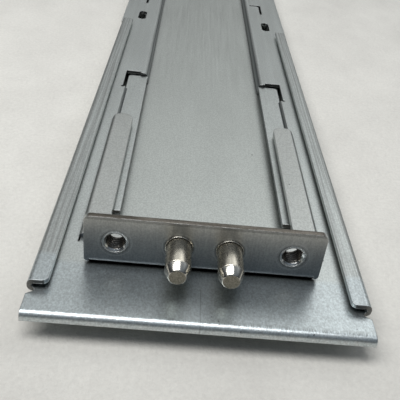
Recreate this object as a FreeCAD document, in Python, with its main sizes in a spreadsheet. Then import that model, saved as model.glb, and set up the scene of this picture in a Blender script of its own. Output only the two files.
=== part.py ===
import FreeCAD, Part
import math
import os

import Sketcher

# Telescoping side rail for a server rack, lying flat with its mounting end towards -Y.
# X runs across the rail, Y along it towards the sliding end, Z up from the surface it rests on.
# Every sub-part is drawn with y = 0 at the front rack face. One shift, worked out from the
# sizes below, then puts the origin under the middle of the closed rail.

SIZES = {
    # rack interface
    "rack_span": 609.6,          # rack face to rack face with the rail closed
    "travel": 304.8,             # how far the sliding half pulls out
    "thread_spacing": 44.45,     # between the two threaded holes of one end
    "pin_spacing": 12.7,         # between the two locating pins of one end
    "axis_rise": 7.4,            # pins and threads above the deck
    # deck of the outer rail
    "deck_gauge": 1.2,
    "deck_bend": 0.8,            # inside radius of the bends in the deck sheet
    "apron_reach": 19.05,        # front edge ahead of the rack face
    "apron_half": 41.6,
    "lip_height": 2.3,
    "lip_bend": 0.5,
    "notch_start": 12.4,         # relief notch between apron and hem, ahead of the rack face
    "notch_apex": 11.2,
    "notch_depth": 1.9,
    "deck_short": 2.6,           # between the deck's end and the rear bracket's foot
    "deck_half": 42.6,           # half width behind the hems
    # folded edge of the outer rail
    "hem_half": 41.8,
    "hem_width": 5.1,
    "hem_height": 2.4,
    "hem_bend": 0.3,
    "hem_start": 10.2,           # ahead of the rack face
    "hem_end": 187.6,
    "hem_corner": 1.6,
    # channel formed down through the outer rail
    "channel_half": 23.8,
    "channel_depth": 4.8,
    "window_start": 17.0,
    "tray_length": 38.0,         # closed floor behind the window
    "window_flare": 27.0,
    # lowered lanes beside the window
    "lane_start": 25.4,
    "lane_end": 124.0,
    "lane_gap": 1.0,             # slit ahead of the lanes
    "lane_drop": 1.2,
    "lane_edge": 31.0,
    "lane_ramp": 1.0,
    # lances at the end of the lanes and their repeats
    "lance_inner": 26.6,
    "lance_edge": 31.7,
    "lance_corner": 1.5,         # of the tongue
    "lance_gap": 1.6,
    "lance_slit": 1.2,
    "lance_length": 14.5,
    "lance_relief": 1.4,         # round hole where the lanes' own slits start
    "lance_pitch": 114.3,
    "lance_count": 4,
    # slots in the side strips
    "slot_place": 202.0,
    "slot_across": 32.9,
    "slot_width": 4.0,
    "slot_length": 13.0,
    "slot_pitch": 228.6,
    "slot_count": 2,
    # sliding channel
    "slider_gauge": 1.2,
    "slider_bend": 0.8,
    "slider_half": 36.2,
    "slider_start": 22.0,
    "slider_end_gap": 1.6,       # short of the rear rack face
    "run_gap": 0.25,             # between the sliding half and what guides it
    # guide saddles
    "saddle_gauge": 1.2,
    "saddle_bend": 0.8,
    "saddle_length": 25.0,
    "saddle_flange_half": 41.0,
    "saddle_front": 70.0,
    "saddle_rear": 48.0,         # ahead of the deck's end
    # end brackets
    "bracket_gauge": 1.5,
    "bracket_bend": 0.5,
    "plate_width": 60.0,
    "plate_top": 14.8,           # above the deck
    "plate_hover": 0.7,          # bottom of the plate's free corners above its seat
    "plate_corner": 1.8,
    "plate_low_corner": 1.0,
    "fold_half": 28.8,           # half width of the fold between plate and foot
    "foot_depth": 15.0,
    "foot_half": 29.5,
    "foot_relief": 3.0,
    "rear_foot_depth": 24.0,
    "gusset_height": 9.0,
    # arms of the front bracket
    "arm_inner": 25.7,
    "arm_outer": 33.0,
    "arm_start": 10.2,
    "arm_end": 82.0,
    "arm_corner": 3.5,
    "arm_round": 1.3,            # rounding along the outer top edge
    "arm_relief": 1.8,           # narrow relief in the deck ahead of the arm's shoulder
    "arm_relief_width": 0.5,
    # locating pins
    "pin_diameter": 6.35,
    "pin_length": 11.15,
    "pin_taper": 3.0,
    "pin_tip": 4.2,
    "pin_collar": 7.0,           # clinched into the plate, flush with its back
    "collar_proud": 0.2,
    # clinch nuts, M5
    "nut_bore": 4.2,
    "nut_barrel": 6.6,
    "nut_body": 9.2,
    "nut_length": 4.0,
    # rivets of the brackets
    "rivet_diameter": 4.0,
    "rivet_head": 7.0,
    "rivet_head_height": 1.2,
    "rivet_spacing": 26.0,
    "front_rivet_row": 9.6,
    "rear_rivet_row": 17.5,
    # lock screw, M5
    "lock_inset": 8.4,           # ahead of the deck's end
    "lock_diameter": 5.0,
    "lock_head": 9.2,
    "lock_head_height": 3.0,
    "lock_slot_gap": 0.3,        # all round the screw in its slot
    "lock_hole_gap": 0.25,
    "washer_diameter": 11.0,
    "washer_thickness": 1.0,
    "lock_bar_length": 14.0,
    "lock_bar_width": 26.0,
}


class Size:
    """A length: its value, and the sheet expression that it is worked out by."""

    def __init__(self, value, text):
        self.value = float(value)
        self.text = text

    def __add__(self, other):
        other = size_of(other)
        return Size(self.value + other.value, f"({self.text} + {other.text})")

    def __sub__(self, other):
        other = size_of(other)
        return Size(self.value - other.value, f"({self.text} - {other.text})")

    def __rsub__(self, other):
        return size_of(other) - self

    def __mul__(self, factor):
        return Size(self.value * factor, f"({self.text} * {factor})")

    def __truediv__(self, factor):
        return Size(self.value / factor, f"({self.text} / {factor})")

    def __neg__(self):
        return self * -1

    __radd__ = __add__
    __rmul__ = __mul__


def size_of(item):
    if isinstance(item, Size):
        return item
    return Size(item, str(float(item)))


doc = FreeCAD.newDocument("server_rail")
sheet = doc.addObject("Spreadsheet::Sheet", "Sizes")
for row, (alias, amount) in enumerate(SIZES.items(), start=1):
    sheet.set(f"A{row}", alias)
    sheet.set(f"B{row}", str(amount))
    sheet.setAlias(f"B{row}", alias)
doc.recompute()


def size(alias):
    return Size(SIZES[alias], f"Sizes.{alias}")


# Heights, from the resting surface up
slider_under = size("saddle_gauge") + size("run_gap")
slider_floor = slider_under + size("slider_gauge")
channel_under = slider_floor + size("run_gap")
deck_top = channel_under + size("channel_depth")
deck_under = deck_top - size("deck_gauge")
lane_top = deck_top - size("lane_drop")
lane_under = lane_top - size("deck_gauge")
tray_floor = channel_under + size("deck_gauge")
axis_height = deck_top + size("axis_rise")
plate_top = deck_top + size("plate_top")

# Places along the rail
window_edge = size("channel_half") + size("deck_bend") + size("deck_gauge")
lip_turn = size("lip_bend") + size("deck_gauge")
deck_end = size("rack_span") - size("rear_foot_depth") - size("deck_short")
window_end = deck_end - size("tray_length")
lock_place = deck_end - size("lock_inset")
lance_start = size("lane_end") - size("lance_length")
lance_outer = size("lance_edge") + size("lance_slit")
wall_start = size("lane_end") + size("run_gap")
ramp_end = size("lane_edge") + size("lane_ramp")
middle_shift = (size("apron_reach") - size("rack_span") - size("pin_length")) / 2
slider_end = size("rack_span") - size("slider_end_gap")

TINY = 1e-6
PLANES = {"XY": "XY_Plane", "XZ": "XZ_Plane", "YZ": "YZ_Plane"}
sub_parts = []


def bind(thing, prop, length):
    thing.setExpression(prop, size_of(length).text)


def place(thing, x=0, y=0, z=0, turn=None):
    """Put a sub-part at its place; y counts from the front rack face."""
    if turn is not None:
        thing.Placement = FreeCAD.Placement(FreeCAD.Vector(), turn)
    bind(thing, ".Placement.Base.x", x)
    bind(thing, ".Placement.Base.y", middle_shift + y)
    bind(thing, ".Placement.Base.z", z)


def new_body(label):
    body = doc.addObject("PartDesign::Body", label)
    body.Label = label
    sub_parts.append(body)
    return body


def new_sketch(body, plane, name, offset=0):
    """A sketch on one of the body's own origin planes, moved along that plane's normal."""
    sketch = body.newObject("Sketcher::SketchObject", name)
    features = body.Origin.OriginFeatures
    support = next(item for item in features if item.Role == PLANES[plane])
    sketch.AttachmentSupport = [(support, "")]
    sketch.MapMode = "FlatFace"
    bind(sketch, ".AttachmentOffset.Base.z", offset)
    return sketch


def fix_along(sketch, geo, end, kind, length):
    """Hold one coordinate of a point; kind is DistanceX or DistanceY."""
    length = size_of(length)
    if abs(length.value) < TINY:
        axis = -2 if kind == "DistanceX" else -1
        sketch.addConstraint(Sketcher.Constraint("PointOnObject", geo, end, axis))
        return
    number = sketch.addConstraint(Sketcher.Constraint(kind, -1, 1, geo, end, length.value))
    bind(sketch, f"Constraints[{number}]", length)


def fix_point(sketch, geo, end, x, y):
    """Hold a point of the sketch at x, y."""
    fix_along(sketch, geo, end, "DistanceX", x)
    fix_along(sketch, geo, end, "DistanceY", y)


def fix_radius(sketch, geo, radius):
    number = sketch.addConstraint(Sketcher.Constraint("Radius", geo, radius.value))
    bind(sketch, f"Constraints[{number}]", radius)


def vector(x, y):
    return FreeCAD.Vector(size_of(x).value, size_of(y).value, 0)


def step_towards(here, there, radius):
    """The point one radius from here towards there, along an axis."""
    if abs(there[0].value - here[0].value) < TINY:
        sign = 1 if there[1].value > here[1].value else -1
        return here[0], here[1] + radius * sign
    sign = 1 if there[0].value > here[0].value else -1
    return here[0] + radius * sign, here[1]


def draw_outline(sketch, corners):
    """Close a loop through corners (x, y) or (x, y, radius).

    A corner has a radius only where both of its edges run along an axis.
    """
    points = [(size_of(c[0]), size_of(c[1])) for c in corners]
    radii = [size_of(c[2]) if len(c) > 2 else None for c in corners]
    count = len(points)
    chain = []
    for i, here in enumerate(points):
        before, after = points[i - 1], points[(i + 1) % count]
        start = here
        if radii[i] is not None:
            start = step_towards(here, after, radii[i])
            chain.append(draw_bend(sketch, here, step_towards(here, before, radii[i]), start, radii[i]))
        stop = after
        if radii[(i + 1) % count] is not None:
            stop = step_towards(after, here, radii[(i + 1) % count])
        if (vector(*stop) - vector(*start)).Length > TINY:
            line = sketch.addGeometry(Part.LineSegment(vector(*start), vector(*stop)), False)
            chain.append((line, 1, 2, start))
    for i, (geo, first, _, start) in enumerate(chain):
        previous, _, last, _ = chain[i - 1]
        sketch.addConstraint(Sketcher.Constraint("Coincident", previous, last, geo, first))
        fix_point(sketch, geo, first, *start)


def draw_bend(sketch, corner, arrive, leave, radius):
    """Round one corner of an outline with a quarter arc from arrive to leave."""
    middle = vector(arrive[0] + leave[0] - corner[0], arrive[1] + leave[1] - corner[1])
    spoke_in = vector(*arrive) - middle
    spoke_out = vector(*leave) - middle
    turns_left = spoke_in.cross(spoke_out).z > 0
    first = spoke_in if turns_left else spoke_out
    from_angle = math.atan2(first.y, first.x)
    circle = Part.Circle(middle, FreeCAD.Vector(0, 0, 1), radius.value)
    arc = Part.ArcOfCircle(circle, from_angle, from_angle + math.pi / 2)
    geo = sketch.addGeometry(arc, False)
    fix_radius(sketch, geo, radius)
    return (geo, 1, 2, arrive) if turns_left else (geo, 2, 1, arrive)


def draw_box(sketch, low_x, high_x, low_y, high_y):
    draw_outline(sketch, [(low_x, low_y), (high_x, low_y), (high_x, high_y), (low_x, high_y)])


def draw_circle(sketch, x, y, diameter):
    radius = size_of(diameter) / 2
    circle = Part.Circle(vector(x, y), FreeCAD.Vector(0, 0, 1), radius.value)
    geo = sketch.addGeometry(circle, False)
    fix_point(sketch, geo, 3, x, y)
    fix_radius(sketch, geo, radius)


def draw_slot(sketch, x, low_y, high_y, width):
    """A slot along Y with round ends; low_y and high_y are the centres of its ends."""
    radius = size_of(width) / 2
    left, right = x - radius, x + radius
    half_turn = math.pi
    spin = FreeCAD.Vector(0, 0, 1)
    sides = [Part.LineSegment(vector(right, low_y), vector(right, high_y)),
             Part.LineSegment(vector(left, high_y), vector(left, low_y))]
    up_side, down_side = [sketch.addGeometry(side, False) for side in sides]
    top_circle = Part.Circle(vector(x, high_y), spin, radius.value)
    low_circle = Part.Circle(vector(x, low_y), spin, radius.value)
    top = sketch.addGeometry(Part.ArcOfCircle(top_circle, 0, half_turn), False)
    low = sketch.addGeometry(Part.ArcOfCircle(low_circle, half_turn, 2 * half_turn), False)
    fix_point(sketch, up_side, 1, right, low_y)
    fix_point(sketch, up_side, 2, right, high_y)
    fix_point(sketch, down_side, 1, left, high_y)
    fix_point(sketch, down_side, 2, left, low_y)
    joins = [(up_side, 2, top, 1), (top, 2, down_side, 1),
             (down_side, 2, low, 1), (low, 2, up_side, 1)]
    for join in joins:
        sketch.addConstraint(Sketcher.Constraint("Coincident", *join))
    fix_along(sketch, top, 3, "DistanceY", high_y)
    fix_along(sketch, low, 3, "DistanceY", low_y)


def draw_corner_cut(sketch, x, y, radius, across, along):
    """What rounding takes off a corner at x, y; across and along, 1 or -1, point into the sheet."""
    corner = (size_of(x), size_of(y))
    arrive = (corner[0] + radius * across, corner[1])
    leave = (corner[0], corner[1] + radius * along)
    arc, first, last, _ = draw_bend(sketch, corner, arrive, leave, radius)
    edge = sketch.addGeometry(Part.LineSegment(vector(*leave), vector(*corner)), False)
    end = sketch.addGeometry(Part.LineSegment(vector(*corner), vector(*arrive)), False)
    fix_point(sketch, edge, 1, *leave)
    fix_point(sketch, end, 1, *corner)
    fix_point(sketch, end, 2, *arrive)
    joins = [(edge, 2, end, 1), (end, 2, arc, first), (arc, last, edge, 1)]
    for join in joins:
        sketch.addConstraint(Sketcher.Constraint("Coincident", *join))


def mirrored(corners):
    """The same corners on the other side of x = 0, in the opposite order."""
    return [(-size_of(c[0]),) + tuple(c[1:]) for c in reversed(corners)]


def pad(body, sketch, length, backwards=False, both_ways=False):
    feature = body.newObject("PartDesign::Pad", sketch.Name + "_pad")
    feature.Profile = sketch
    feature.Type = "Length"
    bind(feature, "Length", length)
    feature.Reversed = backwards
    feature.Midplane = both_ways
    return feature


def pocket(body, sketch, length, backwards=False):
    """Cut the sketch into the body, and make sure that it does cut."""
    doc.recompute()
    before = body.Shape.Volume
    feature = body.newObject("PartDesign::Pocket", sketch.Name + "_pocket")
    feature.Profile = sketch
    feature.Type = "Length"
    bind(feature, "Length", length)
    feature.Reversed = backwards
    doc.recompute()
    if body.Shape.Volume > before - TINY:
        raise RuntimeError(f"{sketch.Name} cuts nothing from {body.Label}")
    return feature


def pad_section(body, name, loops, start, end):
    """Pad closed loops drawn in X and Z from y = start to y = end."""
    sketch = new_sketch(body, "XZ", name, -size_of(start))
    for loop in loops:
        draw_outline(sketch, loop)
    return pad(body, sketch, size_of(end) - start, backwards=True)


def revolve(body, name, outline):
    """Turn an outline of (radius, height) corners round the body's Z axis."""
    sketch = new_sketch(body, "XZ", name)
    draw_outline(sketch, outline)
    feature = body.newObject("PartDesign::Revolution", name + "_turn")
    feature.Profile = sketch
    feature.ReferenceAxis = (sketch, ["V_Axis"])
    feature.Angle = 360
    return feature


# ---------------------------------------------------------------- outer rail


def deck_blank(body):
    """The flat deck with its notched front corners and relief behind the hems."""
    fold_line = size("hem_half") - size("hem_bend") - size("deck_gauge")
    relief = size("deck_bend")
    right = [
        (size("apron_half"), lip_turn - size("apron_reach")),
        (size("apron_half"), -size("notch_start")),
        (size("apron_half") - size("notch_depth"), -size("notch_apex")),
        (fold_line, -size("hem_start")),
        (fold_line, size("hem_end")),
        (fold_line - relief, size("hem_end") + relief),
        (size("deck_half"), size("hem_end") + relief * 2),
        (size("deck_half"), deck_end),
    ]
    sketch = new_sketch(body, "XY", "deck_outline", deck_top)
    draw_outline(sketch, right + mirrored(right))
    pad(body, sketch, size("deck_gauge"), backwards=True)


def deck_opening(body):
    """Window over the channel, widened for the lanes and the lances at their end."""
    lance_end = size("lane_end") + size("lance_gap")
    right = [
        (size("window_flare"), size("window_start")),
        (size("window_flare"), size("lane_start") - size("lane_gap")),
        (ramp_end, size("lane_start") - size("lane_gap")),
        (ramp_end, lance_start),
        (lance_outer, lance_start),
        (lance_outer, lance_end),
        (size("lance_inner"), lance_end),
        (size("lance_inner"), wall_start),
        (window_edge, wall_start),
        (window_edge, deck_end),
    ]
    sketch = new_sketch(body, "XY", "deck_opening", deck_top)
    draw_outline(sketch, right + mirrored(right))
    pocket(body, sketch, size("deck_gauge"))


def lanes(body):
    """Lowered lanes beside the window, joined to the deck by a short ramp."""
    lane = [
        (size("channel_half"), lane_under),
        (size("lane_edge"), lane_under),
        (ramp_end, deck_under),
        (ramp_end, deck_top),
        (size("lane_edge"), lane_top),
        (size("channel_half"), lane_top),
    ]
    pad_section(body, "lanes", [lane, mirrored(lane)], size("lane_start"), lance_start)
    tongue = [
        (size("channel_half"), lane_under),
        (size("lance_edge"), lane_under),
        (size("lance_edge"), lane_top),
        (size("channel_half"), lane_top),
    ]
    pad_section(body, "tongues", [tongue, mirrored(tongue)], lance_start, size("lane_end"))
    cut = new_sketch(body, "XY", "tongue_corners", lane_top)
    for side in (1, -1):
        corner = size("lance_edge") * side
        draw_corner_cut(cut, corner, size("lane_end"), size("lance_corner"), -side, -1)
    pocket(body, cut, size("deck_gauge"))


def channel_walls(body):
    """Walls bent down along the window, and the closed tray behind it."""
    outside = size("deck_bend") + size("deck_gauge")
    inner_face = size("channel_half") + size("deck_gauge")
    wall = [
        (window_edge, deck_top),
        (size("channel_half"), deck_top, outside),
        (size("channel_half"), channel_under),
        (inner_face, channel_under),
        (inner_face, deck_under, size("deck_bend")),
        (window_edge, deck_under),
    ]
    pad_section(body, "channel_walls", [wall, mirrored(wall)], wall_start, window_end)
    right = [
        (inner_face, channel_under, outside),
        (inner_face, deck_under, size("deck_bend")),
        (window_edge, deck_under),
        (window_edge, deck_top),
        (size("channel_half"), deck_top, outside),
        (size("channel_half"), tray_floor, size("deck_bend")),
    ]
    tray = right + mirrored(right)
    pad_section(body, "rear_tray", [tray], window_end, deck_end)


def hems(body):
    """Edges folded up and back over the deck, with a rounded front corner."""
    outside = size("hem_bend") + size("deck_gauge")
    fold_line = size("hem_half") - outside
    fold_inside = size("hem_half") - size("deck_gauge")
    fold_top = deck_top + size("hem_height")
    strip_under = fold_top - size("deck_gauge")
    strip_edge = size("hem_half") - size("hem_width")
    hem = [
        (fold_line, deck_under),
        (size("hem_half"), deck_under, outside),
        (size("hem_half"), fold_top, outside),
        (strip_edge, fold_top),
        (strip_edge, strip_under),
        (fold_inside, strip_under, size("hem_bend")),
        (fold_inside, deck_top, size("hem_bend")),
        (fold_line, deck_top),
    ]
    pad_section(body, "hems", [hem, mirrored(hem)], -size("hem_start"), size("hem_end"))


def front_lip(body):
    """Front edge of the apron rolled down."""
    front = -size("apron_reach")
    back = front + size("deck_gauge")
    bottom = deck_top - size("lip_height")
    sketch = new_sketch(body, "YZ", "front_lip")
    draw_outline(sketch, [
        (front, bottom),
        (back, bottom),
        (back, deck_under, size("lip_bend")),
        (front + lip_turn, deck_under),
        (front + lip_turn, deck_top),
        (front, deck_top, lip_turn),
    ])
    pad(body, sketch, size("apron_half") * 2, both_ways=True)


def deck_cuts(body):
    """Repeated lances, side slots, arm reliefs, rivet holes and the lock screw's hole."""
    sketch = new_sketch(body, "XY", "deck_cuts", deck_top)
    for number in range(1, int(SIZES["lance_count"])):
        leg = size("lane_end") + size("lance_pitch") * number
        start = leg - size("lance_length")
        end = leg + size("lance_gap")
        lance = [
            (size("lance_inner"), leg),
            (size("lance_edge"), leg, size("lance_corner")),
            (size("lance_edge"), start),
            (lance_outer, start),
            (lance_outer, end),
            (size("lance_inner"), end),
        ]
        draw_outline(sketch, lance)
        draw_outline(sketch, mirrored(lance))
    half_run = (size("slot_length") - size("slot_width")) / 2
    for number in range(int(SIZES["slot_count"])):
        middle = size("slot_place") + size("slot_pitch") * number
        for side in (1, -1):
            across = size("slot_across") * side
            draw_slot(sketch, across, middle - half_run, middle + half_run, size("slot_width"))
    width = size("arm_relief_width")
    for low in (size("arm_outer") - width, -size("arm_outer")):
        draw_box(sketch, low, low + width, size("arm_start") - size("arm_relief"), size("arm_start"))
    for across in rivet_places():
        draw_circle(sketch, across, size("front_rivet_row"), size("rivet_diameter"))
    pocket(body, sketch, size("deck_gauge"))
    reliefs = new_sketch(body, "XY", "lane_reliefs", deck_top)
    for side in (1, -1):
        draw_circle(reliefs, lance_outer * side, lance_start, size("lance_relief"))
    pocket(body, reliefs, size("deck_gauge"))
    hole = new_sketch(body, "XY", "lock_hole", tray_floor)
    draw_circle(hole, 0, lock_place, size("lock_diameter") + size("lock_hole_gap") * 2)
    pocket(body, hole, size("deck_gauge"))


def rivet_places():
    """Where the two rivets of a bracket foot stand across the rail."""
    return [size("rivet_spacing") / 2 * side for side in (-1, 1)]


def outer_rail():
    body = new_body("outer_rail")
    deck_blank(body)
    deck_opening(body)
    lanes(body)
    channel_walls(body)
    hems(body)
    front_lip(body)
    deck_cuts(body)
    cut = new_sketch(body, "XY", "hem_corners", deck_top + size("hem_height"))
    strip_edge = size("hem_half") - size("hem_width")
    for side in (1, -1):
        draw_corner_cut(cut, strip_edge * side, -size("hem_start"), size("hem_corner"), side, 1)
    pocket(body, cut, size("deck_gauge"))
    place(body)


# ---------------------------------------------------------------- end brackets


def folded_plate(body, seat, foot_depth):
    """Rack plate folded up from its foot, with free rounded corners beyond the fold."""
    outside = size("bracket_bend") + size("bracket_gauge")
    gauge = size("bracket_gauge")
    fold = new_sketch(body, "YZ", "folded_plate")
    draw_outline(fold, [
        (0, plate_top),
        (0, seat, outside),
        (foot_depth, seat),
        (foot_depth, seat + gauge),
        (gauge, seat + gauge, size("bracket_bend")),
        (gauge, plate_top),
    ])
    pad(body, fold, size("fold_half") * 2, both_ways=True)
    corner = [
        (size("fold_half"), seat + size("plate_hover")),
        (size("plate_width") / 2, seat + size("plate_hover"), size("plate_low_corner")),
        (size("plate_width") / 2, plate_top),
        (size("fold_half"), plate_top),
    ]
    pad_section(body, "plate_corners", [corner, mirrored(corner)], 0, gauge)


def plate_cuts(body):
    """Rounded upper corners, and the holes for the pins and the clinch nuts."""
    sketch = new_sketch(body, "XZ", "plate_cuts")
    for side in (1, -1):
        corner = size("plate_width") / 2 * side
        draw_corner_cut(sketch, corner, plate_top, size("plate_corner"), -side, -1)
        draw_circle(sketch, size("thread_spacing") / 2 * side, axis_height, size("nut_barrel"))
        draw_circle(sketch, size("pin_spacing") / 2 * side, axis_height, size("pin_collar"))
    pocket(body, sketch, size("bracket_gauge"))


def foot_holes(body, seat, row):
    sketch = new_sketch(body, "XY", "foot_holes", seat + size("bracket_gauge"))
    for across in rivet_places():
        draw_circle(sketch, across, row, size("rivet_diameter"))
    pocket(body, sketch, size("bracket_gauge"))


def front_bracket():
    """Forked bracket: rack plate, foot on the deck, and two arms that bridge the lanes."""
    body = new_body("front_bracket")
    gauge = size("bracket_gauge")
    flat_edge = size("arm_outer") - size("arm_round")
    folded_plate(body, deck_top, size("foot_depth"))
    wing = [
        (size("fold_half"), size("foot_relief")),
        (size("foot_half"), size("foot_relief")),
        (size("foot_half"), size("arm_start")),
        (flat_edge, size("arm_start")),
        (flat_edge, size("arm_end")),
        (size("arm_inner"), size("arm_end"), size("arm_corner")),
        (size("arm_inner"), size("foot_depth")),
        (size("fold_half") - gauge, size("foot_depth")),
        (size("fold_half") - gauge, size("foot_relief")),
    ]
    plan = new_sketch(body, "XY", "arms", deck_top)
    draw_outline(plan, wing)
    draw_outline(plan, mirrored(wing))
    pad(body, plan, gauge)
    edge = [
        (flat_edge, deck_top),
        (size("arm_outer"), deck_top),
        (size("arm_outer"), deck_top + gauge, size("arm_round")),
        (flat_edge, deck_top + gauge),
    ]
    pad_section(body, "arm_edges", [edge, mirrored(edge)], size("arm_start"), size("arm_end"))
    cut = new_sketch(body, "XY", "arm_corners", deck_top + gauge)
    for side in (1, -1):
        corner = size("arm_outer") * side
        draw_corner_cut(cut, corner, size("arm_end"), size("arm_corner"), -side, -1)
    pocket(body, cut, gauge)
    plate_cuts(body)
    foot_holes(body, deck_top, size("front_rivet_row"))
    place(body)


def rear_bracket():
    """Bracket of the sliding half, drawn like the front one and turned round."""
    body = new_body("rear_bracket")
    seat = slider_floor
    gauge = size("bracket_gauge")
    depth = size("rear_foot_depth")
    folded_plate(body, seat, depth)
    side_wall = [
        (size("foot_relief"), seat),
        (depth, seat),
        (depth, seat + gauge),
        (size("foot_relief"), seat + size("gusset_height")),
    ]
    for side, name in ((1, "right_gusset"), (-1, "left_gusset")):
        near = size("foot_half") - gauge if side > 0 else -size("foot_half")
        sketch = new_sketch(body, "YZ", name, near)
        draw_outline(sketch, side_wall)
        pad(body, sketch, gauge)
    wing = new_sketch(body, "XY", "foot_wings", seat)
    inner = size("fold_half") - gauge
    for low, high in ((inner, size("foot_half")), (-size("foot_half"), -inner)):
        draw_box(wing, low, high, size("foot_relief"), depth)
    pad(body, wing, gauge)
    plate_cuts(body)
    foot_holes(body, seat, size("rear_rivet_row"))
    place(body, y=size("rack_span"), turn=FreeCAD.Rotation(FreeCAD.Vector(0, 0, 1), 180))


def pin(label, x, y, turn):
    """Locating pin clinched into the plate; its Z axis points out of the rack face."""
    body = new_body(label)
    shank = size("pin_diameter") / 2
    collar = size("pin_collar") / 2
    back = -size("bracket_gauge")
    revolve(body, label + "_outline", [
        (0, back),
        (collar, back),
        (collar, size("collar_proud")),
        (shank, size("collar_proud")),
        (shank, size("pin_length") - size("pin_taper")),
        (size("pin_tip") / 2, size("pin_length")),
        (0, size("pin_length")),
    ])
    place(body, x, y, axis_height, turn)


def nut(label, x, y, turn):
    """Clinch nut with its barrel flush in the rack face and its hexagon behind the plate."""
    body = new_body(label)
    corner = size("nut_body") / 2
    flat = corner * math.cos(math.radians(30))
    length = size("bracket_gauge") + size("nut_length")
    hexagon = new_sketch(body, "XY", label + "_hexagon", -size("bracket_gauge"))
    right = [(corner / 2, -flat), (corner, 0), (corner / 2, flat)]
    draw_outline(hexagon, right + mirrored(right))
    pad(body, hexagon, size("nut_length"), backwards=True)
    barrel = new_sketch(body, "XY", label + "_barrel")
    draw_circle(barrel, 0, 0, size("nut_barrel"))
    pad(body, barrel, size("bracket_gauge"), backwards=True)
    bore = new_sketch(body, "XY", label + "_bore")
    draw_circle(bore, 0, 0, size("nut_bore"))
    pocket(body, bore, length)
    place(body, x, y, axis_height, turn)


def rivets(label, seat, under, y):
    """Two rivets in one row, from the foot's top at seat to the sheet's bottom face at under."""
    body = new_body(label)
    body.AllowCompound = True
    shank = size("rivet_diameter") / 2
    head = size("rivet_head") / 2
    crown = seat + size("rivet_head_height")
    turned = revolve(body, label + "_outline", [
        (0, under),
        (shank, under),
        (shank, seat),
        (head, seat),
        (head, crown),
        (0, crown),
    ])
    pattern = body.newObject("PartDesign::LinearPattern", label + "_row")
    pattern.Originals = [turned]
    axes = body.Origin.OriginFeatures
    pattern.Direction = (next(item for item in axes if item.Role == "X_Axis"), [""])
    bind(pattern, "Length", size("rivet_spacing"))
    pattern.Occurrences = len(rivet_places())
    body.Tip = pattern
    place(body, rivet_places()[0], y)


# ---------------------------------------------------------------- sliding channel


def slider_channel():
    """Shallow channel that slides under the deck, slotted for the lock screws."""
    body = new_body("slider_channel")
    gauge = size("slider_gauge")
    outside = size("slider_bend") + gauge
    wall_top = deck_under - size("run_gap")
    right = [
        (size("slider_half"), slider_under, outside),
        (size("slider_half"), wall_top),
        (size("slider_half") - gauge, wall_top),
        (size("slider_half") - gauge, slider_floor, size("slider_bend")),
    ]
    section = right + mirrored(right)
    pad_section(body, "slider_section", [section], size("slider_start"), slider_end)
    sketch = new_sketch(body, "XY", "slider_cuts", slider_floor)
    slot_width = size("lock_diameter") + size("lock_slot_gap") * 2
    slot_front = lock_place - size("travel")
    draw_slot(sketch, 0, slot_front, lock_place, slot_width)
    for across in rivet_places():
        row = size("rack_span") - size("rear_rivet_row")
        draw_circle(sketch, across, row, size("rivet_diameter"))
    pocket(body, sketch, gauge)
    place(body)


def saddle(label, middle):
    """Strap under the sliding channel, welded by its flanges to the deck above."""
    body = new_body(label)
    gauge = size("saddle_gauge")
    outside = size("saddle_bend") + gauge
    inner = size("slider_half") + size("run_gap")
    outer = inner + gauge
    right = [
        (outer, 0, outside),
        (outer, deck_under - gauge, size("saddle_bend")),
        (size("saddle_flange_half"), deck_under - gauge),
        (size("saddle_flange_half"), deck_under),
        (inner, deck_under, outside),
        (inner, gauge, size("saddle_bend")),
    ]
    half = size("saddle_length") / 2
    pad_section(body, label + "_section", [right + mirrored(right)], -half, half)
    place(body, y=middle)


# ---------------------------------------------------------------- lock screw


def lock_screw():
    """Screw through the tray, the channel's slot and the bar below."""
    body = new_body("lock_screw")
    shank = size("lock_diameter") / 2
    head = size("lock_head") / 2
    seat = tray_floor + size("washer_thickness")
    revolve(body, "lock_screw_outline", [
        (0, 0),
        (shank, 0),
        (shank, seat),
        (head, seat),
        (head, seat + size("lock_head_height")),
        (0, seat + size("lock_head_height")),
    ])
    place(body, y=lock_place)


def lock_washer():
    body = new_body("lock_washer")
    sketch = new_sketch(body, "XY", "lock_washer_outline", tray_floor)
    draw_circle(sketch, 0, 0, size("washer_diameter"))
    draw_circle(sketch, 0, 0, size("lock_diameter"))
    pad(body, sketch, size("washer_thickness"))
    place(body, y=lock_place)


def lock_bar():
    """Bar under the sliding channel that the lock screw pulls up."""
    body = new_body("lock_bar")
    half = size("lock_bar_width") / 2
    reach = size("lock_bar_length") / 2
    sketch = new_sketch(body, "XY", "lock_bar_outline")
    draw_box(sketch, -half, half, -reach, reach)
    draw_circle(sketch, 0, 0, size("lock_diameter"))
    pad(body, sketch, size("saddle_gauge"))
    place(body, y=lock_place)


outer_rail()
front_bracket()
rear_bracket()
ends = [
    ("front", 0, FreeCAD.Rotation(FreeCAD.Vector(1, 0, 0), 90)),
    ("rear", size("rack_span"), FreeCAD.Rotation(FreeCAD.Vector(1, 0, 0), -90)),
]
for end_name, face, outwards in ends:
    for side_name, side in (("left", -1), ("right", 1)):
        pin(f"{end_name}_pin_{side_name}", size("pin_spacing") / 2 * side, face, outwards)
        nut(f"{end_name}_nut_{side_name}", size("thread_spacing") / 2 * side, face, outwards)
foot_top = size("bracket_gauge")
rivets("front_rivets", deck_top + foot_top, deck_under, size("front_rivet_row"))
rear_row = size("rack_span") - size("rear_rivet_row")
rivets("rear_rivets", slider_floor + foot_top, slider_under, rear_row)
slider_channel()
saddle_rear = deck_end - size("saddle_rear")
saddle("front_saddle", size("saddle_front"))
saddle("middle_saddle", (saddle_rear + size("saddle_front")) / 2)
saddle("rear_saddle", saddle_rear)
lock_screw()
lock_washer()
lock_bar()

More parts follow.
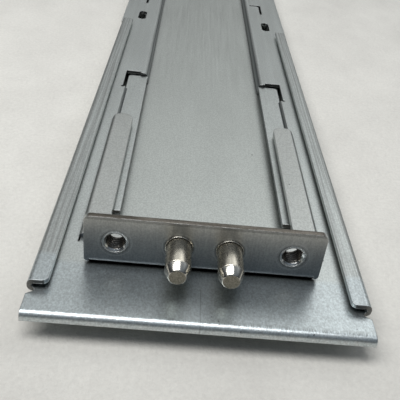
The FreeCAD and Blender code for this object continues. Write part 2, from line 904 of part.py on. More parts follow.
doc.recompute()
for item in doc.Objects:
    if "Invalid" in item.State or "Error" in item.State:
        raise RuntimeError(f"{item.Label} failed: {item.State}")
for part in sub_parts:
    if part.Shape.isNull() or not part.Shape.isValid():
        raise RuntimeError(f"{part.Label} has no valid shape")

os.makedirs("parts", exist_ok=True)
for part in sub_parts:
    part.Shape.exportStep(f"parts/{part.Label}.step")
    box = part.Shape.BoundBox
    solids = len(part.Shape.Solids)
    print(f"{part.Label:20s} solids {solids} volume {part.Shape.Volume:10.1f}", end=" ")
    print(f"x {box.XMin:8.2f} {box.XMax:8.2f} y {box.YMin:8.2f} {box.YMax:8.2f}", end=" ")
    print(f"z {box.ZMin:6.2f} {box.ZMax:6.2f}")
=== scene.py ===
import math

import bmesh
import bpy
from mathutils import Matrix, Vector


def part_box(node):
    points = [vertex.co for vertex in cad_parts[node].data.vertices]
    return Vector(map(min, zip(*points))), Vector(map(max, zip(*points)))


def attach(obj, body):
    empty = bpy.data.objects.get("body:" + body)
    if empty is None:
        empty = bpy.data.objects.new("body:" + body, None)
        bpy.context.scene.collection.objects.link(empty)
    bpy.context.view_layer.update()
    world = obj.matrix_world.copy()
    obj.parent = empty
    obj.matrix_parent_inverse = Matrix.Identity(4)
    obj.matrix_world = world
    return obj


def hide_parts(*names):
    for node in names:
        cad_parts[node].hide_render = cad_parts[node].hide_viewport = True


# Looks of a telescoping server rail. Everything is in metres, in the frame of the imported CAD
# model: +Y along the rail away from the camera, +Z up from the surface it lies on.

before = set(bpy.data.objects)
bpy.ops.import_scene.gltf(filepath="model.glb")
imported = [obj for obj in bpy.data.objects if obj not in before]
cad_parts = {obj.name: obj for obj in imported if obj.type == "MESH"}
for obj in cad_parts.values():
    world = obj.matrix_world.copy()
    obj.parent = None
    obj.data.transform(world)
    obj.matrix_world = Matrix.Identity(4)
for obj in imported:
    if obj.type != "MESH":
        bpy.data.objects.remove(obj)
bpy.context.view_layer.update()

MM = 0.001

# Places that the looks line up with, read from the frame
bracket_low, bracket_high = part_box("front_bracket")
pin_low, pin_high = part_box("front_pin_left")
nut_low, nut_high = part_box("front_nut_left")
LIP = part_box("outer_rail")[0].y           # front of the rolled lip
FACE = bracket_low.y                      # front rack face
REAR_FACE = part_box("rear_bracket")[1].y   # rear rack face
DECK = bracket_low.z                      # top of the deck
PLATE_TOP = bracket_high.z
AXIS = (pin_low.z + pin_high.z) / 2       # height of the pins and nuts
PIN_AT = (pin_low.x + pin_high.x) / -2    # pins stand this far either side of the middle
NUT_AT = (nut_low.x + nut_high.x) / -2    # and so do the nuts

SHELF = bpy.context.scene.collection


# ------------------------------------------------------------------ camera

CAMERA_PLACE = Vector((-9.283, -115.39, 101.027)) * MM   # from the rack face, at deck height
CAMERA_PITCH = 34.289                                    # degrees below level
CAMERA_YAW = 3.319                                       # degrees towards +X
CAMERA_ROLL = 6.803
SENSOR_WIDTH = 36                                        # mm, as is the focal length
LENS = 53.697
CLIP_START = 0.01


def make_camera():
    """Looks down at the front end, from a little left of the middle."""
    data = bpy.data.cameras.new("camera")
    data.sensor_width = SENSOR_WIDTH
    data.lens = LENS
    data.clip_start = CLIP_START
    camera = bpy.data.objects.new("camera", data)
    SHELF.objects.link(camera)
    camera.location = Vector((0, FACE, DECK)) + CAMERA_PLACE
    yaw = Matrix.Rotation(math.radians(-CAMERA_YAW), 3, "Z")
    pitch = Matrix.Rotation(math.radians(90 - CAMERA_PITCH), 3, "X")
    roll = Matrix.Rotation(math.radians(CAMERA_ROLL), 3, "Z")
    camera.rotation_euler = (yaw @ pitch @ roll).to_euler()
    bpy.context.scene.camera = camera


# ------------------------------------------------------------------ materials

AO_SAMPLES = 8
BEVEL_SAMPLES = 6
FACING_SOFT = 0.04         # width of the step between facing an axis and not
EDGE_TURN = (0.995, 0.85)  # cosine between the rounded and the true normal, off and on an edge


class Nodes:
    """The node tree of a material or world, with one short call for each kind of node."""

    def __init__(self, owner):
        owner.use_nodes = True
        self.owner = owner
        self.tree = owner.node_tree
        self.coordinates = self.add("ShaderNodeTexCoord").outputs
        self.place = self.coordinates["Object"]
        self.geometry = self.add("ShaderNodeNewGeometry").outputs

    def surface(self, base, roughness, normal, metallic=1.0):
        """Feeds the shader, and gives its sockets."""
        shader = self.tree.nodes["Principled BSDF"].inputs
        self.link(base, shader["Base Color"])
        self.link(roughness, shader["Roughness"])
        self.link(normal, shader["Normal"])
        shader["Metallic"].default_value = metallic
        return shader

    def add(self, kind, **settings):
        node = self.tree.nodes.new(kind)
        for key, value in settings.items():
            setattr(node, key, value)
        return node

    def link(self, source, socket):
        """Joins a socket to a source, which may be a plain value."""
        if isinstance(source, bpy.types.NodeSocket):
            self.tree.links.new(source, socket)
        else:
            socket.default_value = source

    def math(self, operation, a, b=0.0, clamp=False):
        node = self.add("ShaderNodeMath", operation=operation, use_clamp=clamp)
        self.link(a, node.inputs[0])
        self.link(b, node.inputs[1])
        return node.outputs[0]

    def total(self, *parts):
        """Weighted sum of pairs of value and weight."""
        result = None
        for value, weight in parts:
            part = self.math("MULTIPLY", value, weight)
            result = part if result is None else self.math("ADD", result, part)
        return result

    def noise(self, scales, detail=3.0, roughness=0.6):
        """Noise on the object's own coordinates, in features per metre along X, Y and Z."""
        mapping = self.add("ShaderNodeMapping")
        self.link(self.place, mapping.inputs["Vector"])
        mapping.inputs["Scale"].default_value = scales
        node = self.add("ShaderNodeTexNoise")
        self.link(mapping.outputs["Vector"], node.inputs["Vector"])
        node.inputs["Scale"].default_value = 1.0
        node.inputs["Detail"].default_value = detail
        node.inputs["Roughness"].default_value = roughness
        return node.outputs["Fac"]

    def ramp(self, value, low, high, to_low=0.0, to_high=1.0):
        """Maps low..high onto to_low..to_high, clamped."""
        node = self.add("ShaderNodeMapRange")
        self.link(value, node.inputs["Value"])
        numbers = {"From Min": low, "From Max": high, "To Min": to_low, "To Max": to_high}
        for key, number in numbers.items():
            node.inputs[key].default_value = number
        return node.outputs["Result"]

    def axis(self, vector, name):
        node = self.add("ShaderNodeSeparateXYZ")
        self.link(vector, node.inputs["Vector"])
        return node.outputs[name]

    def blend(self, kind, factor, a, b):
        node = self.add("ShaderNodeMix", data_type=kind)
        self.link(factor, node.inputs["Factor"])
        self.link(a, node.inputs["A"])
        self.link(b, node.inputs["B"])
        return node.outputs["Result"]

    def mix(self, factor, a, b):
        """Colour a where factor is 0, colour b where it is 1."""
        return self.blend("RGBA", factor, a, b)

    def blend_value(self, factor, a, b):
        """The same for two numbers."""
        return self.blend("FLOAT", factor, a, b)

    def paint(self, base, color, strength, *masks):
        """Lays a colour over base where all the masks are 1, and strength says how much of it."""
        return self.mix(self.math("MULTIPLY", self.both(*masks), strength), base, color)

    def roughen(self, rough, amount, *masks):
        """Adds amount to the roughness where all the masks are 1."""
        return self.math("ADD", rough, self.math("MULTIPLY", self.both(*masks), amount))

    def bump(self, height, distance, strength=1.0, normal=None):
        node = self.add("ShaderNodeBump")
        self.link(height, node.inputs["Height"])
        node.inputs["Distance"].default_value = distance
        node.inputs["Strength"].default_value = strength
        if normal is not None:
            self.link(normal, node.inputs["Normal"])
        return node.outputs["Normal"]

    def above(self, value, edge, width):
        """0 below edge, 1 above edge + width."""
        return self.ramp(value, edge, edge + width)

    def below(self, value, edge, width):
        """1 below edge, 0 above edge + width."""
        return self.ramp(value, edge, edge + width, 1.0, 0.0)

    def within(self, value, low, high, soft):
        """1 between low and high, fading inside them over soft."""
        return self.both(self.above(value, low, soft), self.below(value, high - soft, soft))

    def both(self, *masks):
        """1 where all the masks are."""
        result = masks[0]
        for mask in masks[1:]:
            result = self.math("MULTIPLY", result, mask)
        return result

    def facing(self, name, least=0.9):
        """Where the surface looks along an axis, either way."""
        along = self.axis(self.geometry["True Normal"], name)
        return self.above(self.math("ABSOLUTE", along), least, FACING_SOFT)

    def crevice(self, distance, low, high):
        """1 in corners and gaps narrower than distance, 0 in the open."""
        node = self.add("ShaderNodeAmbientOcclusion", samples=AO_SAMPLES)
        node.inputs["Distance"].default_value = distance
        return self.ramp(node.outputs["AO"], low, high, 1.0, 0.0)

    def rounded(self, radius):
        """Normals that turn smoothly over edges, and a mask of those edges."""
        bevel = self.add("ShaderNodeBevel", samples=BEVEL_SAMPLES)
        bevel.inputs["Radius"].default_value = radius
        dot = self.add("ShaderNodeVectorMath", operation="DOT_PRODUCT")
        self.link(bevel.outputs["Normal"], dot.inputs[0])
        self.link(self.geometry["True Normal"], dot.inputs[1])
        return bevel.outputs["Normal"], self.ramp(dot.outputs["Value"], *EDGE_TURN)


def new_look(name):
    """The nodes of a new material."""
    return Nodes(bpy.data.materials.new(name))


def shade(color, factor=1.0):
    """A colour made lighter or darker, with its alpha."""
    return tuple(part * factor for part in color) + (1.0,)


BLACK = (0.0, 0.0, 0.0)
GREY_STEEL = (0.30, 0.30, 0.29)
WORN_STEEL = (0.80, 0.81, 0.80)
# Dark of the real dirt specks, and of the painted shade laid in corners and gaps
GRIME_AND_SHADE = (0.022, 0.024, 0.028)

# Sheet metal
STREAKS_ALONG = (1100, 22, 1100)     # rolled along Y
STREAKS_UPRIGHT = (1300, 1300, 34)   # rolled along Z
STREAK_DEPTH = 0.030 * MM
CALM = 0.85                          # share of the streaks that a calm surface loses
ROUGH_SPREAD = 0.06
SPECKLE = 0.16                       # most that the dark speckle takes off the colour
EDGE_RADIUS = 0.35 * MM
EDGE_WEAR = 0.5                      # how bare the worn edges are
CORNER_REACH = 1.3 * MM              # painted shade reaches this far out of a corner


def sheet_metal(name, color, roughness, streak=0.35, clouds=0.10, upright=False, grain=0.016,
                calm=None, marks=None):
    """Zinc plated sheet: cloudy tone, fine spangle, rolling streaks, painted shade in corners,
    edge wear.

    grain is the height of the spangle in mm. In front of calm, a place along Y, the streaks are
    faint. marks adds what only one kind of piece has.
    """
    n = new_look(name)
    cloud = n.noise((55, 25, 55), detail=5)
    mottle = n.noise((700, 520, 700), detail=4, roughness=0.7)
    spangle = n.noise((2600, 2000, 2600), detail=1, roughness=0.5)
    along = n.noise(STREAKS_UPRIGHT if upright else STREAKS_ALONG, detail=2)
    if calm is not None:
        still = n.ramp(n.axis(n.place, "Y"), calm - 1 * MM, calm + 1 * MM, CALM, 0.0)
        along = n.blend_value(still, along, 0.5)
    tone = n.total((cloud, 0.36), (mottle, 0.20), (along, 0.20), (spangle, 0.24))
    base = n.mix(n.ramp(tone, 0.36, 0.64), shade(color, 1 - clouds), shade(color, 1 + clouds))
    rough = n.ramp(n.total((spangle, 0.5), (along, 0.5)), 0.35, 0.65,
                   roughness - ROUGH_SPREAD, roughness + ROUGH_SPREAD)
    if marks:
        base, rough = marks(n, base, rough)
    speckle = n.noise((2200, 1500, 2200), detail=1)
    base = n.mix(n.ramp(speckle, 0.40, 0.60, 0.0, SPECKLE), base, shade(BLACK))
    normal, wear_and_painted_light = n.rounded(EDGE_RADIUS)
    chips = n.ramp(n.noise((800, 800, 800), detail=3), 0.40, 0.62)
    bare = n.math("MULTIPLY", n.both(wear_and_painted_light, chips), EDGE_WEAR, clamp=True)
    base = n.mix(bare, base, shade(WORN_STEEL))
    specks = n.ramp(n.noise((460, 460, 460), detail=1, roughness=0.3), 0.85, 0.87, 0.0, 0.75)
    base = n.mix(specks, base, shade(color, 0.2))
    # Painted shade: corners and narrow gaps are darkened, where shade falls
    base = n.mix(n.crevice(CORNER_REACH, 0.30, 0.86), base, shade(GRIME_AND_SHADE))
    normal = n.bump(spangle, grain * MM, 1.0, normal)
    normal = n.bump(along, STREAK_DEPTH, streak, normal)
    n.surface(base, rough, normal)
    return n.owner


# Outer rail
HEM_TOPS = DECK + 1.6 * MM           # only the hems' strips are higher than this
WALL_TOPS = DECK - 0.4 * MM          # the walls along the window are lower than this
# Painted shade on the walls along the window
WALL_PAINTED_SHADE = (0.07, 0.085, 0.10)
# Painted reflection: a bluish tint over the apron
APRON_PAINTED_REFLECTION = (0.62, 0.685, 0.705)
SHEARED_FROM = LIP + 4 * MM          # behind the lip, what looks along Y is a sheared end
SCUFFED_SIDE = -16 * MM              # dashes and dots grow from here towards +X
SCRATCH = (-0.40 * MM, 0.05 * MM)    # the scratch's place across the apron
SCRATCH_TOP = FACE - 8 * MM


def rail_marks(n, base, rough):
    """Streaked hems, painted shade on the walls, a painted reflection tint on the apron, sheared
    ends, scuffed lip, dirt above it, faint scratch down the apron.
    """
    x, y, z = (n.axis(n.place, name) for name in "XYZ")
    hems = n.above(z, HEM_TOPS, 0.4 * MM)
    lines = n.ramp(n.noise((1900, 16, 1900), detail=3), 0.40, 0.60)
    base = n.paint(base, shade(GREY_STEEL, 0.9), 0.6, hems, lines)
    rough = n.roughen(rough, 0.10, hems, lines)
    # Painted shade: the walls along the window are darkened
    shaded_walls = n.both(n.facing("X", 0.7), n.below(z, WALL_TOPS - 0.5 * MM, 0.5 * MM))
    base = n.paint(base, shade(WALL_PAINTED_SHADE), 0.8, shaded_walls)
    # Painted reflection: the apron is tinted bluish
    apron = n.below(y, FACE - 1 * MM, 2 * MM)
    base = n.paint(base, shade(APRON_PAINTED_REFLECTION), 0.7, apron)
    flecks = n.ramp(n.noise((1500, 1200, 1500), detail=2), 0.42, 0.60)
    base = n.paint(base, shade(GREY_STEEL, 0.6), 0.22, apron, flecks)
    sheared = n.both(n.facing("Y"), n.above(y, SHEARED_FROM, 0.5 * MM))
    base = n.mix(sheared, base, shade(GREY_STEEL, 0.6))
    band = n.within(y, LIP + 0.5 * MM, LIP + 2.6 * MM, 1.0 * MM)
    dashes = n.ramp(n.noise((3600, 300, 3600), detail=2), 0.48, 0.60)
    side = n.above(x, SCUFFED_SIDE, 30 * MM)
    base = n.paint(base, shade(GREY_STEEL, 0.5), 0.55, band, dashes, side)
    dots = n.ramp(n.noise((900, 700, 900), detail=1), 0.74, 0.76)
    near = n.below(y, LIP + 3 * MM, 7 * MM)
    base = n.paint(base, shade(GRIME_AND_SHADE, 2.0), 0.85, dots, near, side)
    scratch = n.both(n.within(x, *SCRATCH, 0.2 * MM), n.below(y, SCRATCH_TOP, 3 * MM))
    base = n.paint(base, shade(GREY_STEEL, 0.4), 0.45, scratch)
    lip = n.below(y, LIP + 0.3 * MM, 0.9 * MM)
    scuffs = n.ramp(n.noise((500, 900, 900), detail=4), 0.40, 0.60)
    base = n.paint(base, shade(WORN_STEEL), 0.35, lip, scuffs)
    return base, n.roughen(rough, 0.06, lip)


# Rack plates
EDGE_DARK = (0.10, 0.09, 0.075)
EDGE_PALE = (0.24, 0.22, 0.19)
# Painted reflection: the face goes from a dark blue-grey foot to a warmer top
PLATE_FOOT_REFLECTION = (0.105, 0.13, 0.165)
PLATE_HEAD_REFLECTION = (0.54, 0.52, 0.48)
RING_HIGHLIGHT = (4.0 * MM, 4.4 * MM)          # radii of the painted highlight ring round each pin and nut
SEAT_SHADE = (3.0 * MM, 3.75 * MM)         # and of the painted shade inside it


def plate_marks(n, base, rough):
    """Sheared top edge, dull streaks down the face, a painted reflection from the foot to the
    top, and a painted highlight ring with painted shade inside it round each fastener.
    """
    x, y, z = (n.axis(n.place, name) for name in "XYZ")
    top = n.both(n.facing("Z"), n.above(z, PLATE_TOP - 0.3 * MM, 0.1 * MM))
    scrape = n.ramp(n.noise((90, 600, 600), detail=4), 0.35, 0.65)
    base = n.mix(top, base, n.mix(scrape, shade(EDGE_DARK), shade(EDGE_PALE)))
    face = n.facing("Y", 0.8)
    streaks = n.ramp(n.noise((420, 420, 26), detail=4), 0.42, 0.62)
    base = n.paint(base, shade(GREY_STEEL, 0.9), 0.30, face, streaks)
    # Painted reflection over the face, darker at the foot
    painted_reflection = n.mix(n.ramp(z, DECK, PLATE_TOP), shade(PLATE_FOOT_REFLECTION), shade(PLATE_HEAD_REFLECTION))
    base = n.paint(base, painted_reflection, 0.75, face)
    fine = n.ramp(n.noise((2400, 2400, 170), detail=2), 0.42, 0.60)
    base = n.paint(base, shade(GREY_STEEL, 0.3), 0.11, face, fine)
    rim = n.within(z, PLATE_TOP - 1.0 * MM, PLATE_TOP + 1 * MM, 0.25 * MM)
    base = n.paint(base, shade(GREY_STEEL, 0.5), 0.45, face, rim)
    for place in (PIN_AT, NUT_AT):
        across = n.math("SUBTRACT", n.math("ABSOLUTE", x), place)
        up = n.math("SUBTRACT", z, AXIS)
        squares = n.math("ADD", n.math("MULTIPLY", across, across), n.math("MULTIPLY", up, up))
        reach = n.math("SQRT", squares)
        ring = n.within(reach, *RING_HIGHLIGHT, 0.15 * MM)
        seat = n.within(reach, *SEAT_SHADE, 0.15 * MM)
        # Painted highlight on the ring, and painted shade inside it
        base = n.paint(base, shade(WORN_STEEL, 0.9), 0.22, face, ring)
        base = n.paint(base, shade(GREY_STEEL, 0.5), 0.5, face, seat)
    return base, n.roughen(rough, 0.15, top)


# Turned pieces
RINGS_PER_METRE = 1000 / 0.16
TARNISH = 0.06
# Painted highlight laid along every edge of a turned piece
EDGE_HIGHLIGHT = (0.88, 0.87, 0.84)
TURNED_EDGE_RADIUS = 0.12 * MM
# Painted shade reaches this far out of a corner of a turned piece
TURNED_CORNER_REACH = 0.6 * MM
FINE_DEPTH = 0.004 * MM


def turned_metal(name, color, roughness, groove=0.004, marks=None):
    """Turned steel: fine rings round the axis, which lies along Y, a little tarnish, a painted
    highlight along the edges and painted shade in the corners.

    groove is the depth of the rings in mm.
    """
    n = new_look(name)
    cloud = n.noise((260, 260, 260), detail=4)
    rings = n.noise((60, RINGS_PER_METRE, 60), detail=2)
    fine = n.noise((2600, 2600, 2600), detail=2)
    dull, clean = shade(color, 1 - TARNISH), shade(color, 1 + TARNISH / 2)
    base = n.mix(n.ramp(cloud, 0.35, 0.65), dull, clean)
    base = n.mix(n.ramp(rings, 0.40, 0.75, 0.0, 0.35), base, shade(color, 0.62))
    rough = n.ramp(fine, 0.3, 0.7, roughness - 0.05, roughness + 0.06)
    if marks:
        base, rough = marks(n, base, rough, fine)
    normal, wear_and_painted_light = n.rounded(TURNED_EDGE_RADIUS)
    # Painted highlight on the edges
    base = n.paint(base, shade(EDGE_HIGHLIGHT), 0.75, wear_and_painted_light)
    # Painted shade: corners and narrow gaps are darkened
    base = n.paint(base, shade(GRIME_AND_SHADE), 0.8, n.crevice(TURNED_CORNER_REACH, 0.20, 0.7))
    normal = n.bump(rings, groove * MM, 0.8, normal)
    normal = n.bump(fine, FINE_DEPTH, 0.5, normal)
    n.surface(base, rough, normal)
    return n.owner


PIN_STEEL = (0.80, 0.755, 0.65)
CONE_STEEL = (0.60, 0.575, 0.52)
# The tip's own grainy matt finish, made darker with painted shade
TIP_DARK = (0.17, 0.155, 0.12)
TIP_PALE = (0.33, 0.31, 0.26)
CONE_FROM = 8.7 * MM                 # out from the rack face
CONE_ROUGH = 0.20
TIP_ROUGH = 0.5


def pin_marks(n, base, rough, fine):
    """A bright cone, a matt grainy tip made darker with painted shade, and handling streaks along
    the body.
    """
    y = n.axis(n.place, "Y")
    out = n.math("MAXIMUM", n.math("SUBTRACT", FACE, y), n.math("SUBTRACT", y, REAR_FACE))
    streaks = n.ramp(n.noise((1500, 40, 1500), detail=2), 0.40, 0.62)
    base = n.paint(base, shade(PIN_STEEL, 0.62), 0.35, streaks)
    rough = n.math("ADD", rough, 0.05)
    cone = n.above(out, CONE_FROM, 0.1 * MM)
    base = n.mix(cone, base, shade(CONE_STEEL))
    rough = n.blend_value(cone, rough, CONE_ROUGH)
    tip = n.facing("Y")
    grain = n.ramp(fine, 0.35, 0.65)
    base = n.mix(tip, base, n.mix(grain, shade(TIP_DARK), shade(TIP_PALE)))
    return base, n.blend_value(tip, rough, TIP_ROUGH)


zinc = sheet_metal("zinc_sheet_look", (0.60, 0.635, 0.62), 0.35, streak=0.2, grain=0.028,
                   calm=FACE, marks=rail_marks)
strap_zinc = sheet_metal("strap_look", (0.58, 0.61, 0.59), 0.40)
channel_zinc = sheet_metal("channel_look", (0.60, 0.63, 0.605), 0.37, clouds=0.08)
plate_zinc = sheet_metal("plate_look", (0.56, 0.58, 0.56), 0.34, upright=True,
                         marks=plate_marks)
nickel = turned_metal("pin_look", PIN_STEEL, 0.22, marks=pin_marks)
bright = turned_metal("nut_look", (0.66, 0.67, 0.66), 0.20)
# Painted shade: the thread inside the nut is made dark, for the light that it traps
thread_painted_shade = turned_metal("thread_shade_look", (0.17, 0.155, 0.135), 0.30, groove=0.001)
screw_zinc = turned_metal("screw_look", (0.62, 0.63, 0.63), 0.33)

LOOKS = {
    "outer_rail": zinc,
    "front_saddle": strap_zinc,
    "middle_saddle": strap_zinc,
    "rear_saddle": strap_zinc,
    "lock_bar": strap_zinc,
    "slider_channel": channel_zinc,
    "front_bracket": plate_zinc,
    "rear_bracket": plate_zinc,
    "lock_washer": screw_zinc,
}


def dress_nodes():
    """Gives each CAD node that stays in view one material."""
    for node, material in LOOKS.items():
        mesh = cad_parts[node].data
        mesh.materials.clear()
        mesh.materials.append(material)
        for face in mesh.polygons:
            face.material_index = 0


# ------------------------------------------------------------------ turned pieces

STEPS = 48                 # sides of a turned piece
CREASE = math.radians(28)  # sharper edges stay sharp


class Turned:
    """A mesh turned round one or more axes from rows of (distance along it, radius), in mm."""

    def __init__(self):
        self.mesh = bmesh.new()

    def add(self, place, along, rows, ends=None, looks=None):
        """Adds one turned form. A radius may be a function of the angle.

        Without ends the last row joins the first; with ends the form closes at those two
        distances. looks gives each band of faces its material slot.
        """
        turn = Vector((0, 0, 1)).rotation_difference(Vector(along)).to_matrix()
        angles = [math.tau * step / STEPS for step in range(STEPS)]

        def point(distance, radius, angle):
            spot = Vector((radius * math.cos(angle), radius * math.sin(angle), distance)) * MM
            return self.mesh.verts.new(Vector(place) + turn @ spot)

        rings = []
        for distance, radius in rows:
            rings.append([point(distance, radius(angle) if callable(radius) else radius, angle)
                          for angle in angles])
        if ends is None:
            rings.append(rings[0])
        faces = []
        for band, (low, high) in enumerate(zip(rings, rings[1:])):
            for side in range(STEPS):
                after = (side + 1) % STEPS
                face = self.mesh.faces.new((low[side], low[after], high[after], high[side]))
                face.material_index = looks(band) if looks else 0
                faces.append(face)
        if ends is not None:
            for ring, distance in ((rings[0], ends[0]), (rings[-1], ends[1])):
                middle = point(distance, 0, 0)
                for side in range(STEPS):
                    corners = (ring[side], ring[(side + 1) % STEPS], middle)
                    faces.append(self.mesh.faces.new(corners))
        bmesh.ops.recalc_face_normals(self.mesh, faces=faces)

    def finish(self, name, materials, body, node):
        """Makes the piece, which rides on a body and stands for a CAD node."""
        data = bpy.data.meshes.new(name)
        self.mesh.to_mesh(data)
        self.mesh.free()
        for material in materials:
            data.materials.append(material)
        data.shade_smooth()
        data.set_sharp_from_angle(angle=CREASE)
        piece = bpy.data.objects.new(name, data)
        SHELF.objects.link(piece)
        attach(piece, body)
        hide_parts(node)


def hexagon(flat, most=100.0):
    """Radius of a hexagon, from the distance to its flats, turned down to most."""
    def radius(angle):
        return min(flat / math.cos(angle % (math.pi / 3) - math.pi / 6), most)
    return radius


# Locating pin, by distance out from the rack face
PIN_ROWS = [
    (-1.42, 1.2), (-1.46, 2.2), (-1.50, 2.4), (-1.50, 3.38), (-1.40, 3.50),      # punched back
    (0.10, 3.50), (0.20, 3.41), (0.20, 3.30), (0.03, 3.20), (0.03, 3.08),        # collar
    (0.30, 3.13), (0.55, 3.175), (3.0, 3.175), (5.5, 3.175), (8.45, 3.175),      # body
    (8.55, 3.12), (8.68, 3.12), (8.78, 3.17), (8.95, 3.12),                      # groove
    (9.9, 2.72), (10.90, 2.30), (11.06, 2.19), (11.15, 2.05)]                    # cone and tip
PIN_ENDS = (-1.10, 11.15)

# Clinch nut, by distance out from the rack face
NUT_DEPTH = 5.5
NUT_CORNERS = 4.6          # radius to the hexagon's corners
THREAD_CREST, THREAD_ROOT, THREAD_PITCH = 2.1, 2.52, 0.8
THREAD_ROWS = 40
THREAD_INSET = 0.02        # the thread's first and last row, from the nut's ends
MOUTH_RADIUS = 2.86
MOUTH_SLOPE = 0.95         # how fast a mouth narrows on its way in
MOUTH_ROWS = 4             # rows of each mouth that keep the nut's bright finish


def thread(distance):
    """Radius round the bore of a right hand thread, opened out at both mouths."""
    mouth = MOUTH_RADIUS - MOUTH_SLOPE * min(-distance, NUT_DEPTH + distance)

    def radius(angle):
        phase = (distance / THREAD_PITCH + angle / math.tau) % 1
        return max(THREAD_CREST + (THREAD_ROOT - THREAD_CREST) * abs(2 * phase - 1), mouth)
    return radius


def nut_rows():
    """Rows of the nut, and the first and last band of its thread, which is dark with painted
    shade.
    """
    rows = [(-1.5, 3.30), (-0.10, 3.30), (0.0, 3.22), (0.0, 3.02), (-0.10, 2.96), (-0.10, 2.90)]
    first = len(rows)
    for row in range(THREAD_ROWS + 1):
        distance = -THREAD_INSET - (NUT_DEPTH - 2 * THREAD_INSET) * row / THREAD_ROWS
        rows.append((distance, thread(distance)))
    last = len(rows)
    flat = NUT_CORNERS * math.cos(math.pi / 6)
    rows += [(-NUT_DEPTH, 2.98), (-NUT_DEPTH, 4.05), (-5.35, hexagon(flat, 4.2)),
             (-5.05, hexagon(flat, NUT_CORNERS)), (-1.55, hexagon(flat, NUT_CORNERS)),
             (-1.5, hexagon(flat - 0.05, 4.5))]
    return rows, first + MOUTH_ROWS, last - MOUTH_ROWS


# Domed rivet, by height above its seat
RIVET_HEAD = 3.50          # radius
RIVET_DOME = 1.2           # height


def rivet_rows(tail):
    """Domed head over a plain shank, which ends at the height tail."""
    return [(tail, 1.3), (tail, 1.85), (tail + 0.12, 2.0), (0.0, 2.0), (0.0, 3.42),
            (0.08, RIVET_HEAD), (0.28, 3.48), (0.55, 3.27), (0.82, 2.78), (1.03, 2.0),
            (1.15, 1.1)]


def knurled(angle):
    """Radius of the knurled head, high and low in turn."""
    return 4.60 if round(angle / math.tau * STEPS) % 2 else 4.46


# Cap screw, by height above the end of its shank
SOCKET = hexagon(2.0)
SCREW_ROWS = [
    (0.0, 2.1), (0.35, 2.5), (4.1, 2.5), (5.1, 2.5), (5.1, 4.45), (5.22, 4.55),  # shank
    (5.3, knurled), (7.4, knurled), (7.55, 4.60), (7.95, 4.42), (8.1, 4.1),      # head
    (8.1, 2.75), (7.95, 2.55), (7.7, SOCKET), (6.1, SOCKET), (6.05, 1.6)]        # socket
SCREW_ENDS = (0.0, 5.6)


def make_pin_and_nut(end, side, sign, face, out, body):
    pin = Turned()
    pin.add((sign * PIN_AT, face, AXIS), (0, out, 0), PIN_ROWS, PIN_ENDS)
    pin.finish(f"{end}_turned_pin_{side}", [nickel], body, f"{end}_pin_{side}")
    nut = Turned()
    rows, first, last = nut_rows()
    nut.add((sign * NUT_AT, face, AXIS), (0, out, 0), rows,
            looks=lambda band: int(first <= band < last))
    nut.finish(f"{end}_clinch_nut_{side}", [bright, thread_painted_shade], body,
               f"{end}_nut_{side}")


def make_rivets(end, body):
    low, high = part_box(f"{end}_rivets")
    seat = high.z - RIVET_DOME * MM
    across = high.x - RIVET_HEAD * MM
    tail = (low.z - seat) / MM
    rivets = Turned()
    for sign in (-1, 1):
        rivets.add((sign * across, (low.y + high.y) / 2, seat), (0, 0, 1), rivet_rows(tail),
                   (tail, RIVET_DOME))
    rivets.finish(f"{end}_domed_rivets", [screw_zinc], body, f"{end}_rivets")


def make_screw():
    """The socket cap screw that locks the two halves."""
    low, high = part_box("lock_screw")
    screw = Turned()
    screw.add((0, (low.y + high.y) / 2, low.z), (0, 0, 1), SCREW_ROWS, SCREW_ENDS)
    screw.finish("lock_cap_screw", [screw_zinc], "fixed_half", "lock_screw")


def make_fasteners():
    for end, face, out, body in (("front", FACE, -1, "fixed_half"),
                                 ("rear", REAR_FACE, 1, "sliding_half")):
        for side, sign in (("left", -1), ("right", 1)):
            make_pin_and_nut(end, side, sign, face, out, body)
        make_rivets(end, body)
    make_screw()


# ------------------------------------------------------------------ stage

FLOOR_SIZE = 6.0
FLOOR_DARK = (0.66, 0.64, 0.595)
FLOOR_PALE = (0.80, 0.78, 0.725)
FLOOR_PAINTED_SHADE = (0.30, 0.29, 0.27)
FLOOR_ROUGH = 0.9
FLOOR_SPECULAR = 0.2


def make_floor():
    """Pale off-white cloth under the rail, with painted shade that makes it a little darker in
    front of it.
    """
    mesh = bpy.data.meshes.new("floor")
    half = FLOOR_SIZE / 2
    corners = [(-half, -half, 0), (half, -half, 0), (half, half, 0), (-half, half, 0)]
    mesh.from_pydata(corners, [], [(0, 1, 2, 3)])
    floor = bpy.data.objects.new("floor", mesh)
    SHELF.objects.link(floor)
    n = new_look("floor_look")
    cloud = n.noise((26, 18, 26), detail=6, roughness=0.65)
    weave = n.noise((800, 800, 800), detail=3, roughness=0.7)
    crease = n.noise((70, 45, 70), detail=5, roughness=0.6)
    tone = n.total((cloud, 0.55), (weave, 0.45))
    pale = n.mix(n.ramp(tone, 0.35, 0.65), shade(FLOOR_DARK), shade(FLOOR_PALE))
    # Painted shade: the cloth darkens towards the front
    wear_and_painted_light = n.ramp(n.axis(n.place, "Y"), FACE - 60 * MM, FACE + 50 * MM, 0.25, 0.0)
    pale = n.mix(wear_and_painted_light, pale, shade(FLOOR_PAINTED_SHADE))
    normal = n.bump(weave, 0.3 * MM, 0.7, n.bump(crease, 2.0 * MM, 0.5))
    shader = n.surface(pale, FLOOR_ROUGH, normal, metallic=0.0)
    shader["Specular IOR Level"].default_value = FLOOR_SPECULAR
    mesh.materials.append(n.owner)


LAMP_PLACE = Vector((-0.28, FACE - 0.06, 1.0))
LAMP_SIZE = (0.5, 1.1)               # along Y and along X
LAMP_POWER = 9.8


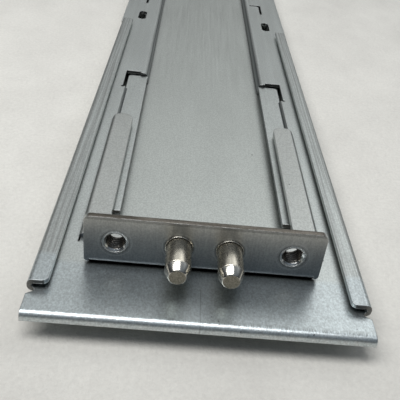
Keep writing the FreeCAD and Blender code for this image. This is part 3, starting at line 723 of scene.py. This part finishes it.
def make_lamp():
    """One broad lamp overhead, aimed at the front of the deck."""
    data = bpy.data.lights.new("above", "AREA")
    data.shape = "RECTANGLE"
    data.size, data.size_y = LAMP_SIZE
    data.energy = LAMP_POWER
    lamp = bpy.data.objects.new("above", data)
    SHELF.objects.link(lamp)
    lamp.location = LAMP_PLACE
    aim = Vector((0, FACE, DECK)) - LAMP_PLACE
    lamp.rotation_euler = aim.to_track_quat("-Z", "Y").to_euler()


# Brightness of the studio dome over the far side of the rail, by the sine of the elevation
DOME = [(0.0, 0.14), (0.17, 0.19), (0.29, 0.26), (0.44, 0.54), (0.56, 1.04),
        (0.65, 1.02), (0.74, 0.52), (1.0, 0.38)]
DOME_TURN = (0.0, 0.60)              # from the camera's side to the far side, by heading along Y
DOME_TINTS = ((0.82, 0.95, 1.10), (0.965, 0.98, 0.98))
DOME_BEHIND = (0.06, 0.24)           # brightness on the camera's side, low down and high up
DOME_BEHIND_RISE = (0.30, 0.75)      # where it rises, by the sine of the elevation
DOME_LEFT = 0.50                     # how much of it is left far to the left
DOME_LEFT_FADE = (-0.50, -0.06)      # where that starts and ends, by heading along X
SOFTBOX_AT = (0.41, 0.61, 0.73)      # a broad soft panel, up and to the right
SOFTBOX_EDGE = (0.955, 0.995)        # its edge, by the cosine from its middle
SOFTBOX_GLOW = 1.05


def make_world():
    """A studio dome: dim behind the camera, brighter over the far end, with one soft panel."""
    world = bpy.data.worlds.new("world")
    n = Nodes(world)
    heading = n.coordinates["Generated"]
    colors = n.add("ShaderNodeValToRGB")
    n.link(n.axis(heading, "Z"), colors.inputs["Fac"])
    stops = colors.color_ramp.elements
    while len(stops) < len(DOME):
        stops.new(0.5)
    for stop, (height, level) in zip(stops, DOME):
        stop.position = height
        stop.color = (level, level, level, 1)
    ahead = n.ramp(n.axis(heading, "Y"), *DOME_TURN)
    tint = n.mix(ahead, *map(shade, DOME_TINTS))
    behind = n.ramp(n.axis(heading, "Z"), *DOME_BEHIND_RISE, *DOME_BEHIND)
    glow = n.blend_value(ahead, behind, colors.outputs["Color"])
    fade = n.ramp(n.axis(heading, "X"), *DOME_LEFT_FADE, DOME_LEFT, 1.0)
    glow = n.math("MULTIPLY", glow, fade)
    dot = n.add("ShaderNodeVectorMath", operation="DOT_PRODUCT")
    n.link(heading, dot.inputs[0])
    dot.inputs[1].default_value = Vector(SOFTBOX_AT).normalized()
    panel = n.ramp(dot.outputs["Value"], *SOFTBOX_EDGE, 0.0, SOFTBOX_GLOW)
    background = n.tree.nodes["Background"].inputs
    n.link(tint, background["Color"])
    n.link(n.math("ADD", glow, panel), background["Strength"])
    bpy.context.scene.world = world


dress_nodes()
make_fasteners()
make_camera()
make_floor()
make_world()
make_lamp()
bpy.context.scene.view_settings.view_transform = "Standard"
